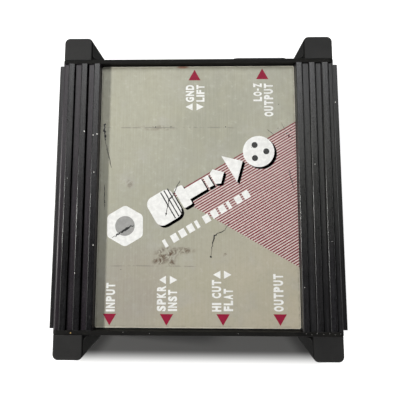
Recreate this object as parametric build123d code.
"""Passive direct injection box in a ribbed two-rail aluminium case.

Frame: +Z up, +Y towards the low-impedance output panel, +X to the right when
facing the instrument panel from the front (-Y). The origin is the centre of
the footprint on the surface the rubber feet stand on. Millimetres.

Two identical ribbed extrusions are joined by two flat end panels. Two sheet
covers slide in the rails. Full-height corner bumpers are screwed through the
end panels into the rails. The circuit board, held in edge slots of the rails,
carries two 6.35 mm jacks, three slide switches, the transformer and the
filter and pad parts. A 3-pin male connector on the rear panel is wired to it.
"""
import os
from math import hypot

from build123d import *

os.makedirs("parts", exist_ok=True)

# ------------------------------------------------------- shared dimensions
FOOT_CLEAR = 1.0        # rails above the standing surface
CASE_H = 44.5           # height of rails and end panels
CASE_W = 126.8          # over the outermost side fins
RAIL_L = 116.0
PANEL_T = 1.9
BUMPER_L = 10.2         # bumper length beyond the end panel
COVER_T = 1.5
LABEL_T = 0.25
RECESS = 3.6            # printed face below the rib tops
SIDE_FLOOR_X = 61.0     # side face between the fins
SLOT_END_X = 47.0       # closed end of the cover slots
SCREW_X = 53.7          # bumper screws
SCREW_DZ = 14.25        # bumper screws above and below mid height
SCREW_HOLE_R = 1.95     # through panels and bumpers
JACK_XS = {"input": -37.5, "output": 34.5}
FRONT_SWITCH_XS = {"pad": -13.5, "filter": 10.5}
GROUND_SWITCH_X = -1.8
XLR_X = 28.8
BOARD_T = 1.6
BOARD_TOP = 14.5

BOTTOM_Z = FOOT_CLEAR
TOP_Z = FOOT_CLEAR + CASE_H         # rib tops and panel edge
MID_Z = (BOTTOM_Z + TOP_Z) / 2      # axis of jacks, switches and output
RAIL_Y = RAIL_L / 2                 # rail end
PANEL_Y = RAIL_Y + PANEL_T          # outer face of an end panel
BUMPER_Y = PANEL_Y + BUMPER_L       # bumper tip
BOARD_BOT = BOARD_TOP - BOARD_T
PIN_END = BOARD_BOT - 1.5           # lower end of component legs
COVER_TOP = TOP_Z - RECESS - LABEL_T
SLOT_TOP = COVER_TOP + 0.10
SLOT_BOT = SLOT_TOP - COVER_T - 0.20
SIDES = (-1, 1)


# ----------------------------------------------------------------- helpers
def box(x0, x1, y0, y1, z0, z1):
    centre = Pos((x0 + x1) / 2, (y0 + y1) / 2, (z0 + z1) / 2)
    return centre * Box(abs(x1 - x0), abs(y1 - y0), abs(z1 - z0))


def rod_x(y, z, radius, x0, x1):
    return Pos((x0 + x1) / 2, y, z) * Rot(0, 90, 0) * Cylinder(radius, abs(x1 - x0))


def rod_y(x, z, radius, y0, y1):
    return Pos(x, (y0 + y1) / 2, z) * Rot(90, 0, 0) * Cylinder(radius, abs(y1 - y0))


def rod_z(x, y, radius, z0, z1):
    return Pos(x, y, (z0 + z1) / 2) * Cylinder(radius, abs(z1 - z0))


def cone_y(x, z, radius0, radius1, y0, length):
    """Cone from radius0 at y0 to radius1 at y0 + length."""
    return Pos(x, y0 + length / 2, z) * Rot(-90, 0, 0) * Cone(radius0, radius1, length)


def rect(x0, x1, z0, z1):
    """Rectangle in a section drawn in x, z."""
    return Pos((x0 + x1) / 2, (z0 + z1) / 2) * Rectangle(abs(x1 - x0), abs(z1 - z0))


def along_y(sketch, y0, y1):
    """A section drawn in x, z and carried from y0 to y1."""
    return Pos(0, y1, 0) * Rot(90, 0, 0) * extrude(sketch, amount=y1 - y0)


def hexagon(across_flats, hole_r):
    outline = RegularPolygon(radius=across_flats / 2, side_count=6, major_radius=False)
    return outline - Circle(hole_r)


def cross_recess(x, z, reach, half_w, y0, y1):
    cross = box(x - reach, x + reach, y0, y1, z - half_w, z + half_w)
    return cross + box(x - half_w, x + half_w, y0, y1, z - reach, z + reach)


def unit(start, end):
    length = hypot(end[0] - start[0], end[1] - start[1])
    return (end[0] - start[0]) / length, (end[1] - start[1]) / length


def strip_yz(points, thickness, x0, x1):
    """A bent sheet-metal strip centred on points in y, z, from x0 to x1."""
    upper, lower = [], []
    for i, (y, z) in enumerate(points):
        before = unit(*points[i - 1:i + 1]) if i > 0 else unit(*points[:2])
        after = unit(*points[i:i + 2]) if i < len(points) - 1 else before
        ny, nz = -(before[1] + after[1]), before[0] + after[0]
        length = hypot(ny, nz)
        ny, nz = ny / length, nz / length
        # a mitre reaches further than half the thickness, up to a limit
        reach = (thickness / 2) / max(0.35, ny * -after[1] + nz * after[0])
        upper.append((y + ny * reach, z + nz * reach))
        lower.append((y - ny * reach, z - nz * reach))
    face = make_face(Polyline(*upper, *lower[::-1], close=True))
    solid = extrude(face, amount=x1 - x0, dir=(0, 0, 1))
    # Plane.YZ turns the drawing's x along Y and its y along Z
    return Pos(x0, 0, 0) * (Plane.YZ.location * solid)


def wire(points):
    path = Spline(*points)
    return sweep(Plane(origin=path @ 0, z_dir=path % 0) * Circle(0.5), path=path)


def save(name, *shapes):
    solids = [solid for shape in shapes for solid in shape.solids()]
    shape = solids[0] if len(solids) == 1 else Compound(children=solids)
    export_step(shape, f"parts/{name}.step")


def mirror_x(shape):
    return mirror(shape, about=Plane.YZ)


def mirror_y(shape):
    return mirror(shape, about=Plane.XZ)


board_holes = []        # x, y, half size in x, half size in y


def add_leg(x, y, half_x, half_y):
    """Note a board hole, with clearance, for a leg at x, y."""
    board_holes.append((x, y, half_x + 0.15, half_y + 0.15))


# -------------------------------------------------------------- side rails
RIB_X = 44.0            # inner wall of the first rib on the flanges
RIB_PITCH = 5.75
RIB_W = 2.85
RIB_DEPTH = 0.95
FIN_PITCH = 5.8         # fins on the outer web
FIN_W = 2.4
WEB_T = 2.0
SLOT_WALL_T = 1.5       # lip below the cover slot
SLOT_WALL_X = 49.0
PORT_R = 3.4            # screw port
PORT_BORE_R = 1.8
LIP_X = 57.2            # inner edge of the board lips
LIP_T = 1.2
BOARD_PLAY = 0.1


def rail_section():
    """Right-hand rail: ribbed top and bottom flanges, finned outer web, cover
    slots, two screw ports and board slots, symmetric about mid height."""
    floor = TOP_Z - RIB_DEPTH
    half = rect(RIB_X, SIDE_FLOOR_X, SLOT_TOP - 0.65, floor)           # flange
    half = half + rect(RIB_X, RIB_X + RIB_W, SLOT_TOP, TOP_Z)          # first rib
    for k in (1, 2):
        x = RIB_X + k * RIB_PITCH
        half = half + rect(x, x + RIB_W, floor - 0.2, TOP_Z)
    half = half - rect(RIB_X - 1, SLOT_END_X, SLOT_BOT, SLOT_TOP)      # cover slot
    wall_bot = SLOT_BOT - SLOT_WALL_T
    half = half + rect(SLOT_END_X - 0.01, SLOT_WALL_X, wall_bot, SLOT_TOP)
    half = half + rect(RIB_X + 0.2, SLOT_WALL_X, wall_bot, SLOT_BOT)
    half = half + rect(SIDE_FLOOR_X - WEB_T, SIDE_FLOOR_X, MID_Z, floor)
    for k in range(4):
        z = MID_Z + k * FIN_PITCH
        z0 = z if k == 0 else z - FIN_W / 2       # the middle fin is halved here
        half = half + rect(SIDE_FLOOR_X - 0.2, CASE_W / 2, z0, z + FIN_W / 2)
    port_z = MID_Z + SCREW_DZ
    half = half + Pos(SCREW_X, port_z) * Circle(PORT_R)
    half = half + rect(SCREW_X - 1.6, SCREW_X + 1.6, port_z, SLOT_TOP)
    # pair of lips that hold the board edge, repeated above and below mid height
    gap_bot = 2 * MID_Z - BOARD_TOP - BOARD_PLAY
    gap_top = 2 * MID_Z - BOARD_BOT + BOARD_PLAY
    half = half + rect(LIP_X, SIDE_FLOOR_X - 1.0, gap_bot - LIP_T, gap_bot)
    half = half + rect(LIP_X, SIDE_FLOOR_X - 1.0, gap_top, gap_top + LIP_T)
    section = half + Pos(0, MID_Z) * mirror_y(Pos(0, -MID_Z) * half)
    for z in (port_z, 2 * MID_Z - port_z):
        section = section - Pos(SCREW_X, z) * Circle(PORT_BORE_R)

    def lies_at(value, *targets):
        return any(abs(value - target) < 1e-4 for target in targets)

    rib_and_fin_tips = [v for v in section.vertices()
                        if lies_at(v.Y, TOP_Z, BOTTOM_Z) or lies_at(v.X, CASE_W / 2)]
    section = fillet(rib_and_fin_tips, 0.45)
    corners = [v for v in section.vertices()
               if lies_at(v.X, SIDE_FLOOR_X) and lies_at(v.Y, floor, 2 * MID_Z - floor)]
    return fillet(corners, 1.0)


right_rail = along_y(rail_section(), -RAIL_Y, RAIL_Y)
save("right_rail", right_rail)
save("left_rail", mirror_x(right_rail))

# ---------------------------------------------------------- covers and feet
COVER_HALF_W = SLOT_END_X - 0.4
LABEL_HALF_W = 43.8
UNDERSIDE_Z = 2 * MID_Z - COVER_TOP     # lower face of the bottom cover
FOOT_X, FOOT_Y = 33.0, 46.0


def sheet(half_w, end_gap, z0, z1, corner_r):
    plate = box(-half_w, half_w, -RAIL_Y + end_gap, RAIL_Y - end_gap, z0, z1)
    return fillet(plate.edges().filter_by(Axis.Z), corner_r)


def rubber_foot():
    foot = Pos(0, 0, UNDERSIDE_Z / 2) * Cone(5.4, 6.35, UNDERSIDE_Z)
    return fillet(foot.edges().sort_by(Axis.Z)[0], 0.8)


save("top_cover", sheet(COVER_HALF_W, 0.2, COVER_TOP - COVER_T, COVER_TOP, 0.6))
save("top_label", sheet(LABEL_HALF_W, 0.45, COVER_TOP, COVER_TOP + LABEL_T, 0.8))
save("bottom_cover", sheet(COVER_HALF_W, 0.2, UNDERSIDE_Z, UNDERSIDE_Z + COVER_T, 0.6))
save("rubber_feet", *[Pos(sx * FOOT_X, sy * FOOT_Y, 0) * rubber_foot()
                      for sx in SIDES for sy in SIDES])

# -------------------------------------------------------------- end panels
PANEL_HALF_W = 61.0
WINDOW_W, WINDOW_H = 10.4, 5.2
# connector bolts: lower left and upper right of its axis
XLR_BOLTS = [(XLR_X + side * 9.5, MID_Z + side * 12.0) for side in SIDES]


def end_plate():
    """Plate at the front (-Y) with rounded corners and softened outer edges."""
    section = rect(-PANEL_HALF_W, PANEL_HALF_W, BOTTOM_Z, TOP_Z)
    section = fillet(section.vertices(), 2.0)
    plate = along_y(section, -PANEL_Y, -RAIL_Y)
    plate = fillet(plate.faces().sort_by(Axis.Y)[0].edges(), 0.5)
    for sx in SIDES:
        for sz in SIDES:
            plate = plate - rod_y(sx * SCREW_X, MID_Z + sz * SCREW_DZ, SCREW_HOLE_R,
                                  -PANEL_Y - 1, -RAIL_Y + 1)
    return plate


def window(x, y0, y1):
    """Cutter for a switch window."""
    cutter = box(x - WINDOW_W / 2, x + WINDOW_W / 2, y0, y1,
                 MID_Z - WINDOW_H / 2, MID_Z + WINDOW_H / 2)
    return fillet(cutter.edges().filter_by(Axis.Y), 0.6)


def front_panel():
    panel = end_plate()
    for x in JACK_XS.values():
        panel = panel - rod_y(x, MID_Z, 4.9, -PANEL_Y - 1, -RAIL_Y + 1)
    for x in FRONT_SWITCH_XS.values():
        panel = panel - window(x, -PANEL_Y - 1, -RAIL_Y + 1)
    return panel


def rear_panel():
    panel = mirror_y(end_plate())
    panel = panel - window(GROUND_SWITCH_X, RAIL_Y - 1, PANEL_Y + 1)
    panel = panel - rod_y(XLR_X, MID_Z, 11.9, RAIL_Y - 1, PANEL_Y + 1)
    for x, z in XLR_BOLTS:
        panel = panel - rod_y(x, z, 1.7, RAIL_Y - 1, PANEL_Y + 1)
    return panel


save("front_panel", front_panel())
save("rear_panel", rear_panel())

# ------------------------------------------------------ bumpers and screws
BUMPER_X0, BUMPER_X1 = 47.8, 60.6
BUMPER_Z0, BUMPER_Z1 = BOTTOM_Z + 0.2, TOP_Z - 0.2
FLARE_R = 2.4             # concave root of the bumper's inner wall
FLARE_STEP = 0.3          # straight foot of the flare
SEAT_Y = PANEL_Y + 2.6    # screw head seat inside the bumper
SHANK_R = 1.72
SHANK_L = 15.0


def bumper():
    """Front right bumper: a full-height block with rounded tips and two
    counterbored screw holes."""
    block = box(BUMPER_X0, BUMPER_X1, -BUMPER_Y, -PANEL_Y, BUMPER_Z0, BUMPER_Z1)
    block = fillet(block.edges().filter_by(Axis.Z).group_by(Axis.Y)[0], 2.4)
    rim = [e for e in block.edges()
           if min(abs(e.center().Z - BUMPER_Z1), abs(e.center().Z - BUMPER_Z0)) < 1e-4
           and e.center().Y < -PANEL_Y - 0.1]
    block = fillet(rim, 0.7)
    # concave flare that carries the inner wall out onto the panel
    flare_x, flare_y = BUMPER_X0 - FLARE_R, -PANEL_Y - FLARE_R - FLARE_STEP
    flare = box(flare_x, BUMPER_X0 + 0.6, flare_y, -PANEL_Y, BOTTOM_Z + 0.9, TOP_Z - 0.9)
    flare = flare - rod_z(flare_x, flare_y, FLARE_R, BOTTOM_Z, TOP_Z)
    block = block + flare
    for side in SIDES:
        z = MID_Z + side * SCREW_DZ
        block = block - rod_y(SCREW_X, z, 3.6, -BUMPER_Y - 1, -SEAT_Y)
        block = block - rod_y(SCREW_X, z, SCREW_HOLE_R, -BUMPER_Y, -PANEL_Y + 1)
    return block


def pan_screw():
    """Pan-head screw on the front right upper seat, head towards -Y, with a
    cross recess and a pointed end."""
    z = MID_Z + SCREW_DZ
    y = -SEAT_Y
    head = rod_y(SCREW_X, z, 3.1, y - 2.3, y)
    head = fillet(head.edges().sort_by(Axis.Y)[0], 1.1)
    head = head - cross_recess(SCREW_X, z, 1.9, 0.4, y - 2.4, y - 1.0)
    shank = rod_y(SCREW_X, z, SHANK_R, y - 0.1, y + SHANK_L)
    tip = cone_y(SCREW_X, z, SHANK_R, 0.7, y + SHANK_L, 1.2)
    return head + shank + tip


front_right = bumper()
front_left = mirror_x(front_right)
save("bumper_front_right", front_right)
save("bumper_front_left", front_left)
save("bumper_rear_right", mirror_y(front_right))
save("bumper_rear_left", mirror_y(front_left))

upper_screw = pan_screw()
lower_screw = Pos(0, 0, -2 * SCREW_DZ) * upper_screw
case_screws = [upper_screw, lower_screw, mirror_x(upper_screw), mirror_x(lower_screw)]
case_screws += [mirror_y(screw) for screw in case_screws]
save("bumper_screws", *case_screws)

# ------------------------------------------------------------------- jacks
NOSE_TIP_Y = -PANEL_Y - 4.0
NOSE_R = 4.75             # thread crest
NOSE_BORE_R = 3.25
THREAD_DEPTH = 0.32
THREAD_PITCH = 0.8
JACK_WALL_Y = -52.0       # inner face of the body's front wall
NUT_FLATS = 12.7
WASHER_T = 0.9
NUT_T = 2.3
CONTACT_Z = MID_Z + 5.6   # underside of the tip terminal's arm


def jack_body(x):
    body = box(x - 9, x + 9, -RAIL_Y, -31.0, BOARD_TOP, MID_Z + 8.25)
    body = fillet(body.edges().filter_by(Axis.Y), 0.8)
    body = body - rod_y(x, MID_Z, 4.85, -RAIL_Y - 1, JACK_WALL_Y)
    body = body - box(x - 6.6, x + 6.6, JACK_WALL_Y, -33.0, 17.0, MID_Z + 6.4)
    # slots for the sleeve leg and the tip leg
    body = body - box(x - 2.15, x + 2.15, -50.6, -49.85, BOARD_TOP - 1, 17.5)
    return body - box(x + 5.35, x + 6.1, -49.95, -47.65, BOARD_TOP - 1, 17.5)


def jack_bushing(x):
    """Nose ringed with thread ridges, plain bore, flange behind the body wall."""
    root_r = NOSE_R - THREAD_DEPTH
    # radius, y
    profile = [(NOSE_BORE_R, NOSE_TIP_Y + 0.4), (3.65, NOSE_TIP_Y), (root_r, NOSE_TIP_Y)]
    y = NOSE_TIP_Y
    while y + THREAD_PITCH < -RAIL_Y - 0.2:
        profile += [(NOSE_R, y + THREAD_PITCH * 0.45), (NOSE_R, y + THREAD_PITCH * 0.55),
                    (root_r, y + THREAD_PITCH)]
        y += THREAD_PITCH
    profile += [(NOSE_R, -RAIL_Y), (NOSE_R, -51.95), (6.0, -51.95), (6.0, -50.6),
                (NOSE_BORE_R, -50.6)]
    face = make_face(Polyline(*profile, close=True))
    return Pos(x, 0, MID_Z) * revolve(face, Axis.Y)


def jack_nut(x):
    """Hexagon nut with its corners chamfered by a turned blank."""
    y1 = -PANEL_Y - WASHER_T
    y0 = y1 - NUT_T
    nut = along_y(Pos(x, MID_Z) * hexagon(NUT_FLATS, 4.86), y0, y1)
    blank = rod_y(x, MID_Z, NUT_FLATS / 2 + 0.55, y0, y1)
    return nut & chamfer(blank.edges().filter_by(GeomType.CIRCLE), 0.45)


def jack_washer(x):
    washer = rod_y(x, MID_Z, 7.6, -PANEL_Y - WASHER_T, -PANEL_Y)
    washer = washer - rod_y(x, MID_Z, 4.9, -PANEL_Y - 1, -PANEL_Y + 1)
    circles = washer.edges().filter_by(GeomType.CIRCLE)
    return fillet(circles.group_by(SortBy.RADIUS)[-1], 0.2)


def jack_terminals(x):
    """Sleeve leg, and tip leg with an arm over the spring's root."""
    sleeve = box(x - 2.0, x + 2.0, -50.58, -50.0, 15.2, 19.4)
    sleeve = sleeve + box(x - 0.6, x + 0.6, -50.58, -50.0, PIN_END, 15.3)
    add_leg(x, -50.29, 0.6, 0.29)
    tip = box(x + 5.5, x + 5.95, -49.8, -47.8, 15.2, CONTACT_Z)
    tip = tip + box(x + 5.5, x + 5.95, -49.3, -48.3, PIN_END, 15.3)
    tip = tip + box(x - 2.0, x + 5.95, -49.8, -47.8, CONTACT_Z, CONTACT_Z + 0.45)
    add_leg(x + 5.72, -48.8, 0.23, 0.5)
    return sleeve, tip


# leaf that presses the plug tip: y, height above the jack axis
TIP_SPRING = ((-49.6, 5.35), (-43.0, 4.9), (-40.6, 4.3),
              (-38.6, 2.45), (-36.9, 4.2), (-35.3, 4.6))

for name, x in JACK_XS.items():
    save(f"{name}_jack_body", jack_body(x))
    save(f"{name}_jack_bushing", jack_bushing(x))
    save(f"{name}_jack_nut", jack_nut(x))
    save(f"{name}_jack_washer", jack_washer(x))
    save(f"{name}_jack_terminals", *jack_terminals(x))
    spring_points = [(y, MID_Z + dz) for y, dz in TIP_SPRING]
    save(f"{name}_jack_tip_spring", strip_yz(spring_points, 0.4, x - 1.9, x + 1.9))

# ---------------------------------------------------------- slide switches
# Each switch is drawn behind the front panel; the rear one is mirrored in y.
SLIDE_TRAVEL = 4.0
FRAME_Y = -RAIL_Y + 0.15        # front face of the frame
FRAME_HALF_W, FRAME_HALF_H = 8.0, 5.6
FRAME_DEPTH = 7.0
FRAME_T = 0.6
ROW_DZ = 2.6                    # contact rows above and below the axis
TERMINAL_PITCH = 4.0
# row side, distance from the frame's front face to the back of the terminals
TERMINAL_ROWS = ((1, 10.2), (-1, 8.6))


def switch_frame(x, y_sign):
    """Sheet frame open at the back, with a slot for the knob and two legs."""
    inner_w, inner_h = FRAME_HALF_W - FRAME_T, FRAME_HALF_H - FRAME_T
    frame = box(x - FRAME_HALF_W, x + FRAME_HALF_W, FRAME_Y, FRAME_Y + FRAME_DEPTH,
                MID_Z - FRAME_HALF_H, MID_Z + FRAME_HALF_H)
    frame = fillet(frame.edges().filter_by(Axis.Y), 0.8)
    frame = frame - box(x - inner_w, x + inner_w, FRAME_Y + FRAME_T, FRAME_Y + 8.0,
                        MID_Z - inner_h, MID_Z + inner_h)
    frame = frame - box(x - 5.0, x + 5.0, FRAME_Y - 1, FRAME_Y + 1, MID_Z - 2.25, MID_Z + 2.25)
    for side in SIDES:
        x0, x1 = x + side * inner_w, x + side * FRAME_HALF_W
        frame = frame + box(x0, x1, FRAME_Y + 2.0, FRAME_Y + 5.0, BOARD_TOP, MID_Z - 4.4)
        frame = frame + box(x0, x1, FRAME_Y + 3.0, FRAME_Y + 4.0, PIN_END, BOARD_TOP + 0.2)
        add_leg((x0 + x1) / 2, y_sign * (FRAME_Y + 3.5), FRAME_T / 2, 0.5)
    return frame


def switch_slider(x):
    """Grooved knob on a wider carriage."""
    knob = box(x - 2.5, x + 2.5, -PANEL_Y - 2.6, FRAME_Y + 1.2, MID_Z - 2.0, MID_Z + 2.0)
    knob = fillet(knob.edges().filter_by(Axis.Y), 0.5)
    knob = fillet(knob.faces().sort_by(Axis.Y)[0].edges(), 0.4)
    for k in (-1, 0, 1):
        groove_x = x + k * 1.3
        knob = knob - box(groove_x - 0.25, groove_x + 0.25, -PANEL_Y - 3.0, -PANEL_Y - 2.1,
                          MID_Z - 2.5, MID_Z + 2.5)
    return knob + box(x - 5.0, x + 5.0, FRAME_Y + 0.75, FRAME_Y + 3.4,
                      MID_Z - 4.7, MID_Z + 4.7)


def switch_contacts(x):
    """Two U-shaped clips behind the carriage."""
    clips = []
    for row in SIDES:
        z = MID_Z + row * ROW_DZ
        clip = box(x - 3.0, x + 3.0, FRAME_Y + 3.4, FRAME_Y + 3.8, z - 0.8, z + 0.8)
        for side in SIDES:
            arm_x = x + side * 2.6
            clip = clip + box(arm_x - 0.4, arm_x + 0.4, FRAME_Y + 3.7, FRAME_Y + 4.9,
                              z - 0.8, z + 0.8)
        clips.append(clip)
    return clips


def switch_base_and_terminals(x, y_sign):
    """Base plate and the six right-angle terminals that pass through it."""
    base = box(x - 7.3, x + 7.3, FRAME_Y + 5.5, FRAME_Y + FRAME_DEPTH,
               MID_Z - 4.9, MID_Z + 4.9)
    terminals = []
    for row, depth in TERMINAL_ROWS:
        z = MID_Z + row * ROW_DZ
        back = FRAME_Y + depth
        for k in (-1, 0, 1):
            pin_x = x + k * TERMINAL_PITCH
            base = base - box(pin_x - 0.5, pin_x + 0.5, FRAME_Y + 5.0, FRAME_Y + 7.5,
                              z - 0.4, z + 0.4)
            left, right = pin_x - 0.45, pin_x + 0.45
            terminal = box(left, right, FRAME_Y + 5.05, back, z - 0.3, z + 0.3)
            terminal = terminal + box(pin_x - 1.2, pin_x + 1.2, FRAME_Y + 5.0,
                                      FRAME_Y + 5.45, z - 0.9, z + 0.9)
            terminal = terminal + box(left, right, back - 0.6, back, PIN_END, z + 0.3)
            terminals.append(terminal)
            add_leg(pin_x, y_sign * (back - 0.3), 0.45, 0.3)
    return base, terminals


def save_switch(name, x, slide, at_rear=False):
    """slide is +1 with the knob at +X, -1 with it at -X."""
    y_sign = -1 if at_rear else 1
    slider_x = x + slide * SLIDE_TRAVEL / 2
    frame = switch_frame(x, y_sign)
    base, terminals = switch_base_and_terminals(x, y_sign)
    pieces = {"frame": [frame], "slider": [switch_slider(slider_x)],
              "contacts": switch_contacts(slider_x), "base": [base], "terminals": terminals}
    for piece, shapes in pieces.items():
        if at_rear:
            shapes = [mirror_y(shape) for shape in shapes]
        save(f"{name}_switch_{piece}", *shapes)


for name, x in FRONT_SWITCH_XS.items():
    save_switch(name, x, slide=1)
save_switch("ground", GROUND_SWITCH_X, slide=-1, at_rear=True)

# --------------------------------------------------- three-pin male output
FLANGE_W, FLANGE_H = 26.0, 31.0
FLANGE_Y = PANEL_Y + 2.9        # outer face of the flange
COLLAR_Y = FLANGE_Y + 1.0       # outer end of the collar
XLR_BORE_R = 9.55
BOLT_TOP_Y = FLANGE_Y - 0.05
LUG_T = 0.6
# pin centres from the connector axis: x, z
PINS = ((-3.8, 1.4), (3.8, 1.4), (0.0, -4.1))


def xlr_shell():
    flange = Pos(XLR_X, MID_Z) * Rectangle(FLANGE_W, FLANGE_H)
    flange = fillet(flange.vertices(), 3.0)
    shell = along_y(flange, PANEL_Y, FLANGE_Y)
    shell = fillet(shell.faces().sort_by(Axis.Y)[-1].edges(), 0.6)
    shell = shell + rod_y(XLR_X, MID_Z, 11.7, 40.0, PANEL_Y + 0.1)
    collar = rod_y(XLR_X, MID_Z, 11.2, FLANGE_Y - 0.2, COLLAR_Y)
    shell = shell + fillet(collar.edges().sort_by(Axis.Y)[-1], 0.8)
    shell = shell - rod_y(XLR_X, MID_Z, XLR_BORE_R, 39.0, PANEL_Y + 5)
    shell = shell - cone_y(XLR_X, MID_Z, XLR_BORE_R, 9.95, COLLAR_Y - 0.8, 0.8)
    # keyway at the top of the bore
    shell = shell - box(XLR_X - 2.4, XLR_X + 2.4, 47.0, PANEL_Y + 5, MID_Z, MID_Z + 10.4)
    for x, z in XLR_BOLTS:
        shell = shell - rod_y(x, z, 1.65, PANEL_Y - 1, PANEL_Y + 4)
        shell = shell - cone_y(x, z, 1.65, 3.15, FLANGE_Y - 1.5, 1.5)
    return shell


def xlr_insert():
    insert = rod_y(XLR_X, MID_Z, 9.5, 41.0, 46.0)
    insert = insert + rod_y(XLR_X, MID_Z, 7.0, 45.9, 46.8)
    for dx, dz in PINS:
        insert = insert - rod_y(XLR_X + dx, MID_Z + dz, 1.23, 40.0, 48.0)
    return insert


def xlr_pin(x, z):
    """Round-nosed pin with a half-open solder cup at its inner end."""
    pin = rod_y(x, z, 1.2, 34.5, 59.6)
    pin = fillet(pin.edges().sort_by(Axis.Y)[-1], 0.9)
    pin = pin - rod_y(x, z, 0.8, 34.0, 38.5)
    return pin - box(x - 1.3, x + 1.3, 34.0, 37.5, z, z + 1.3)


def xlr_screw(x, z):
    screw = cone_y(x, z, 1.55, 2.95, BOLT_TOP_Y - 1.4, 1.4)
    screw = screw + rod_y(x, z, 1.5, RAIL_Y - 5.5, FLANGE_Y - 1.25)
    return screw - cross_recess(x, z, 1.5, 0.3, BOLT_TOP_Y - 0.9, BOLT_TOP_Y + 0.1)


def xlr_nut(x, z, y):
    return along_y(Pos(x, z) * hexagon(5.5, 1.6), y - 2.4, y)


def ground_lug(x, z):
    """Ring terminal that bonds the case, with its tail towards -X."""
    y = RAIL_Y - LUG_T
    lug = rod_y(x, z, 3.4, y, RAIL_Y) - rod_y(x, z, 1.65, RAIL_Y - 1, RAIL_Y + 1)
    return lug + box(x - 9.5, x - 2.6, y, RAIL_Y, z - 1.3, z + 1.3)


lug_bolt, plain_bolt = XLR_BOLTS
save("xlr_shell", xlr_shell())
save("xlr_insert", xlr_insert())
save("xlr_pins", *[xlr_pin(XLR_X + dx, MID_Z + dz) for dx, dz in PINS])
save("xlr_screws", *[xlr_screw(x, z) for x, z in XLR_BOLTS])
save("xlr_nuts", xlr_nut(*lug_bolt, RAIL_Y - LUG_T), xlr_nut(*plain_bolt, RAIL_Y))
save("ground_lug", ground_lug(*lug_bolt))

# ------------------------------------------------------------- transformer
CORE_X, CORE_Y, CORE_Z = -27.0, 12.0, BOARD_TOP + 0.9   # centre and underside
PIN_PITCH = 7.0
PIN_ROW_DY = 8.0


def core_box(half_x, half_y, z0, z1, dx=0.0, dy=0.0):
    """Box placed from the centre and underside of the core."""
    x, y = CORE_X + dx, CORE_Y + dy
    return box(x - half_x, x + half_x, y - half_y, y + half_y, CORE_Z + z0, CORE_Z + z1)


def transformer_core():
    core = core_box(14.0, 5.0, 0, 22.0)
    for side in SIDES:
        core = core - core_box(2.5, 6.0, 4.0, 18.0, dx=side * 7.0)
    return chamfer(core.edges().filter_by(Axis.Y).group_by(Axis.Z)[-1], 0.5)


def transformer_bobbin_and_pins():
    bobbin = core_box(5.3, 5.9, 4.1, 17.9)
    for z in (4.1, 17.1):
        bobbin = bobbin + core_box(9.3, 9.6, z, z + 0.8)
    for side in SIDES:
        bobbin = bobbin + core_box(9.3, 1.6, 1.0, 4.5, dy=side * PIN_ROW_DY)
    bobbin = bobbin - core_box(4.55, 5.05, 3.0, 19.0)
    pins = []
    for side in SIDES:
        for k in (-1, 0, 1):
            x, y = CORE_X + k * PIN_PITCH, CORE_Y + side * PIN_ROW_DY
            bobbin = bobbin - rod_z(x, y, 0.5, CORE_Z + 0.9, CORE_Z + 4.0)
            pins.append(rod_z(x, y, 0.45, PIN_END, CORE_Z + 3.9))
            add_leg(x, y, 0.45, 0.45)
    return bobbin, pins


def transformer_winding():
    winding = core_box(9.0, 9.2, 5.0, 17.0)
    winding = fillet(winding.edges().filter_by(Axis.Z), 2.2)
    return winding - core_box(5.35, 5.95, 4.0, 18.0)


def transformer_strap():
    """Strap over the core with a leg at each side."""
    strap = core_box(14.9, 4.0, -0.9, 22.9) - core_box(14.1, 5.0, -2.0, 22.05)
    for side in SIDES:
        x = CORE_X + side * 14.5
        strap = strap + box(x - 0.4, x + 0.4, CORE_Y - 1.5, CORE_Y + 1.5, PIN_END, CORE_Z)
        add_leg(x, CORE_Y, 0.4, 1.5)
    return strap


bobbin, bobbin_pins = transformer_bobbin_and_pins()
save("transformer_core", transformer_core())
save("transformer_bobbin", bobbin)
save("transformer_pins", *bobbin_pins)
save("transformer_winding", transformer_winding())
save("transformer_strap", transformer_strap())

# ------------------------------------------------ resistors and capacitors
LEAD_R = 0.3
RESISTOR_Z = BOARD_TOP + 1.45
RESISTOR_HALF_L = 3.1
LEAD_DX = 5.08            # resistor leads from the centre
RESISTORS = ([(-14.0, -40.0 + k * 4.2) for k in range(4)]
             + [(12.0, -40.0 + k * 4.2) for k in range(2)] + [(-1.8, 36.0)])
CAPACITOR_Z = BOARD_TOP + 0.3
# x, y, length in x, width in y, height
CAPACITORS = ((6.0, -24.0, 13.0, 5.5, 11.0), (6.0, -15.5, 13.0, 5.5, 11.0),
              (24.0, -20.0, 10.0, 4.5, 8.5), (-18.0, 38.0, 10.0, 4.5, 8.5))
leads = []


def resistor(x, y):
    place = Pos(x, y, RESISTOR_Z)
    body = rod_x(0, 0, 1.05, -RESISTOR_HALF_L, RESISTOR_HALF_L)
    for side in SIDES:
        body = body + rod_x(0, 0, 1.25, side * 2.4 - 0.7, side * 2.4 + 0.7)
    for end in (0, -1):
        body = fillet(body.edges().filter_by(GeomType.CIRCLE).group_by(Axis.X)[end], 0.3)
    for side in SIDES:
        dx = side * LEAD_DX
        lead = rod_x(0, 0, LEAD_R, side * RESISTOR_HALF_L, side * 5.3)
        lead = lead + rod_z(dx, 0, LEAD_R, PIN_END - RESISTOR_Z, 0.0)
        lead = lead + Pos(dx, 0, 0) * Sphere(LEAD_R)
        leads.append(place * lead)
        add_leg(x + dx, y, LEAD_R, LEAD_R)
    return place * body


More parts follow.
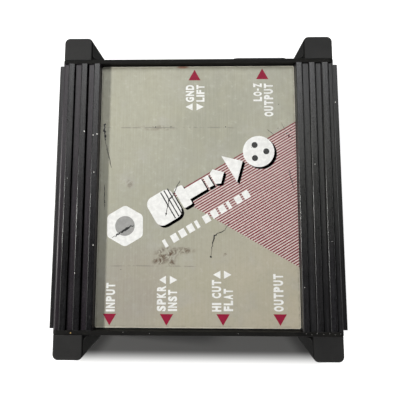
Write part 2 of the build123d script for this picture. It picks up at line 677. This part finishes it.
def capacitor(x, y, length, width, height):
    body = box(x - length / 2, x + length / 2, y - width / 2, y + width / 2,
               CAPACITOR_Z, CAPACITOR_Z + height)
    body = fillet(body.edges().filter_by(Axis.Z), 0.5)
    body = fillet(body.faces().sort_by(Axis.Z)[-1].edges(), 0.4)
    for side in SIDES:
        lead_x = x + side * (length / 2 - 1.6)
        leads.append(rod_z(lead_x, y, LEAD_R, PIN_END, CAPACITOR_Z))
        add_leg(lead_x, y, LEAD_R, LEAD_R)
    return body


save("resistors", *[resistor(*place) for place in RESISTORS])
save("capacitors", *[capacitor(*row) for row in CAPACITORS])
save("component_leads", *leads)

# ------------------------------------------------------------------ wiring
PAD_Y = 22.0
# name, connector pin, pad x, lift of the arch
SIGNAL_WIRES = (("wire_shield", PINS[0], 4.0, 5.0), ("wire_hot", PINS[1], 10.0, 9.0),
                ("wire_cold", PINS[2], 16.0, 2.5))
GROUND_PAD = (9.5, 38.0)
LUG_WIRE_X = 14.9


def pad_rise(x, y):
    """Wire points from the underside of the board up out of its pad."""
    add_leg(x, y, 0.5, 0.5)
    return [(x, y, BOARD_BOT + 0.1), (x, y, BOARD_TOP - 0.2), (x, y, BOARD_TOP + 1.6)]


def signal_wire(pin, pad_x, lift):
    x, z = XLR_X + pin[0], MID_Z + pin[1]
    return wire(pad_rise(pad_x, PAD_Y) + [
        (pad_x + 0.25, PAD_Y + 0.3, BOARD_TOP + 3.4),
        ((pad_x + x) / 2, (PAD_Y + 33.0) / 2, (BOARD_TOP + z) / 2 + 2.0 + lift / 2),
        (x, 34.6, z), (x, 37.9, z)])


def ground_wire(lug_z):
    """Crosses the board's edge into the cut-out and drops to the lug."""
    x, y = GROUND_PAD
    return wire(pad_rise(x, y) + [
        (x + 0.5, y + 1.0, BOARD_TOP + 3.4), (x + 3.4, y + 5.0, BOARD_TOP + 4.6),
        (14.8, 48.0, BOARD_TOP + 2.4), (LUG_WIRE_X, 53.5, lug_z + 1.4),
        (LUG_WIRE_X, RAIL_Y - 1.6, lug_z), (LUG_WIRE_X, RAIL_Y - 0.85, lug_z)])


for name, pin, pad_x, lift in SIGNAL_WIRES:
    save(name, signal_wire(pin, pad_x, lift))
save("wire_case_ground", ground_wire(lug_bolt[1]))

# ----------------------------------------------------------- circuit board
BOARD_HALF_W, BOARD_HALF_L = 58.8, 56.6


def circuit_board():
    """Board with a cut-out for the connector and a hole for every leg."""
    z0, z1 = BOARD_BOT - 1, BOARD_TOP + 1
    board = box(-BOARD_HALF_W, BOARD_HALF_W, -BOARD_HALF_L, BOARD_HALF_L,
                BOARD_BOT, BOARD_TOP)
    board = board - box(13.5, 44.5, 30.0, 58.0, z0, z1)
    for x, y, half_x, half_y in board_holes:
        board = board - box(x - half_x, x + half_x, y - half_y, y + half_y, z0, z1)
    corners = [e for e in board.edges().filter_by(Axis.Z)
               if abs(e.center().X) > BOARD_HALF_W - 0.1]
    return fillet(corners, 1.0)


save("circuit_board", circuit_board())
